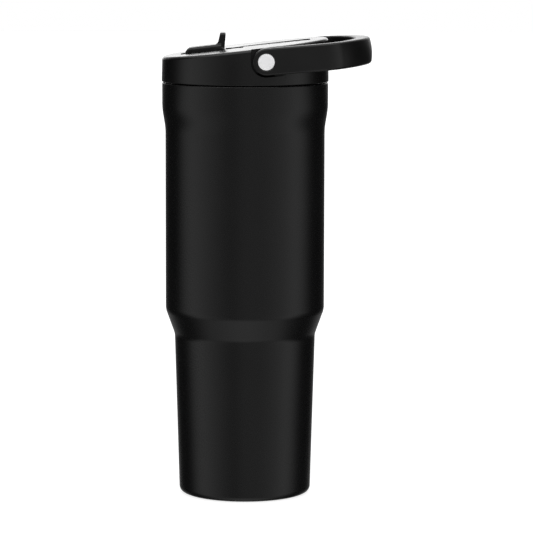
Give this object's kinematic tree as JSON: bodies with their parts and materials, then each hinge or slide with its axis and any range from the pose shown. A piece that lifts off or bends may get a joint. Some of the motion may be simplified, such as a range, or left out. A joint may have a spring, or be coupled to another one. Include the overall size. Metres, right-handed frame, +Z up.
{
  "type": "insulated travel mug",
  "caption": "Double-walled steel travel mug with a cup-holder base, a screw-in lid, a flip-up spout with thumb tab, a straw and a swinging carry handle.",
  "frame": {"origin": "on the mug's own axis, on the surface it stands on", "axes": "+Z up along the mug's axis; +X towards the side the handle folds back to, so the drinker is at -X"},
  "size_m": [0.1138, 0.0924, 0.2507],
  "materials": {
    "powder_coat": "satin black powder coat with a fine even texture",
    "steel": "stainless steel, brushed inside",
    "getter": "dull grey metal, hidden between the walls",
    "lid_plastic": "satin black moulded plastic",
    "handle_plastic": "satin black moulded plastic",
    "spout_plastic": "satin black moulded plastic, a little glossier at its edges",
    "straw_plastic": "smooth black plastic tube",
    "bushing_plastic": "natural white acetal",
    "silicone": "matt black silicone",
    "satin_metal": "satin silver metal with a fine turned grain"
  },
  "bodies": {
    "tumbler": {"outer_shell": "powder_coat", "inner_liner": "steel", "base_cap": "powder_coat", "vacuum_seal": "getter", "getter_pellet": "getter"},
    "gasket": {"lid_gasket": "silicone"},
    "lid": {"lid_cover": "lid_plastic", "lid_plug": "lid_plastic", "port_seal": "silicone", "vent_valve": "silicone", "straw_connector": "silicone", "straw": "straw_plastic", "spout_pin_left": "steel", "spout_pin_right": "steel", "pivot_pin_left": "steel", "pivot_pin_right": "steel"},
    "spout": {"spout": "spout_plastic"},
    "handle": {"handle": "handle_plastic", "pivot_cap_left": "satin_metal", "pivot_cap_right": "satin_metal", "pivot_bushing_left": "bushing_plastic", "pivot_bushing_right": "bushing_plastic", "friction_washer_left": "steel", "friction_washer_right": "steel"}
  },
  "joints": [
    {"name": "lid_lift", "type": "slide", "parent": "tumbler", "child": "gasket", "axis": [0, 0, 1], "range_m": [0, 0.235]},
    {"name": "lid_turn", "type": "hinge", "parent": "gasket", "child": "lid", "pos_m": [0, 0, 0.2242], "axis": [0, 0, 1], "range_deg": [0, 360]},
    {"name": "handle_swing", "type": "hinge", "parent": "lid", "child": "handle", "pos_m": [0.0111, 0, 0.2369], "axis": [0, -1, 0], "range_deg": [0, 85]},
    {"name": "spout_flip", "type": "hinge", "parent": "lid", "child": "spout", "pos_m": [-0.0137, 0, 0.23872], "axis": [0, 1, 0], "range_deg": [0, 83.4]}
  ]
}
